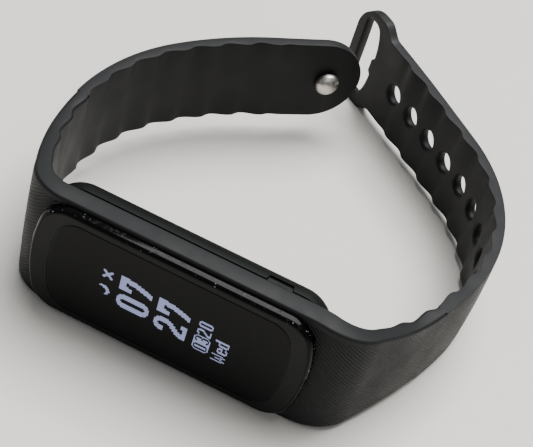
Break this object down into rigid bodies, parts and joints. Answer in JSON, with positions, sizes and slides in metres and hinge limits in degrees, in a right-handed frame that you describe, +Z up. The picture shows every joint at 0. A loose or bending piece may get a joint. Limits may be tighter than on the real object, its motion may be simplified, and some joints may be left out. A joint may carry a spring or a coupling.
{
  "type": "fitness tracker band",
  "caption": "Slim fitness tracker on a one-piece silicone wristband with ribbed straps, adjustment holes, keeper loop and press stud, lying open on its edge.",
  "frame": {"origin": "on the pod's lower long edge, half way along it, on the surface the band rests on", "axes": "+Z up, across the band's width; +X along the display; the display faces -Y and the wrist side faces +Y"},
  "size_m": [0.0616, 0.0724, 0.0194],
  "materials": {
    "silicone": "matte moulded silicone",
    "lens": "polished, fine scratches",
    "adhesive": "satin tape",
    "case_plastic": "fine satin",
    "display_glass": "polished",
    "flex_film": "satin film",
    "board": "solder mask",
    "chip": "moulded epoxy",
    "antenna_ceramic": "matte",
    "battery_pouch": "laminated foil",
    "foam": "open foam",
    "steel": "satin",
    "led": "clear resin",
    "sensor_lens": "polished, tinted",
    "gasket": "matte",
    "gold": "gold flash",
    "stud_steel": "polished, light wear"
  },
  "bodies": {
    "surround": {"strap_frame": "silicone", "front_lens": "lens", "lens_adhesive": "adhesive", "inner_case": "case_plastic", "display_panel": "display_glass", "display_flex": "flex_film", "touch_electrode": "flex_film", "main_board": "board", "radio_chip": "chip", "motion_sensor": "chip", "antenna": "antenna_ceramic", "battery": "battery_pouch", "battery_foam": "foam", "vibration_motor": "steel", "pulse_board": "board", "pulse_leds": "led", "photodiode": "chip", "sensor_window": "sensor_lens", "back_cover": "case_plastic", "case_gasket": "gasket", "charging_contacts": "gold"},
    "left_strap": {"strap_left_root": "silicone"},
    "left_end": {"strap_left_tip": "silicone", "clasp_stud": "stud_steel", "stud_base": "stud_steel"},
    "right_strap": {"strap_right_root": "silicone"},
    "right_end": {"strap_right_tip": "silicone", "keeper_loop": "silicone"}
  },
  "joints": [
    {"name": "left_root_bend", "type": "hinge", "parent": "surround", "child": "left_strap", "pos_m": [-0.02287, 0.00428, 0.0097], "axis": [0, 0, 1], "range_deg": [-20, 30], "stiffness_Nm_per_rad": 0.0035},
    {"name": "left_mid_bend", "type": "hinge", "parent": "left_strap", "child": "left_end", "pos_m": [-0.02161, 0.03147, 0.0097], "axis": [0, 0, 1], "range_deg": [-16, 24], "stiffness_Nm_per_rad": 0.0035},
    {"name": "right_root_bend", "type": "hinge", "parent": "surround", "child": "right_strap", "pos_m": [0.0263, 0.0035, 0.0097], "axis": [0, 0, -1], "range_deg": [0, 30], "stiffness_Nm_per_rad": 0.0035},
    {"name": "right_mid_bend", "type": "hinge", "parent": "right_strap", "child": "right_end", "pos_m": [0.03395, 0.02293, 0.0097], "axis": [0, 0, -1], "range_deg": [0, 24], "stiffness_Nm_per_rad": 0.0035}
  ],
  "couplings": [
    {"joint": "left_mid_bend", "follows": "left_root_bend", "ratio": 0.8},
    {"joint": "right_mid_bend", "follows": "right_root_bend", "ratio": 0.8}
  ]
}
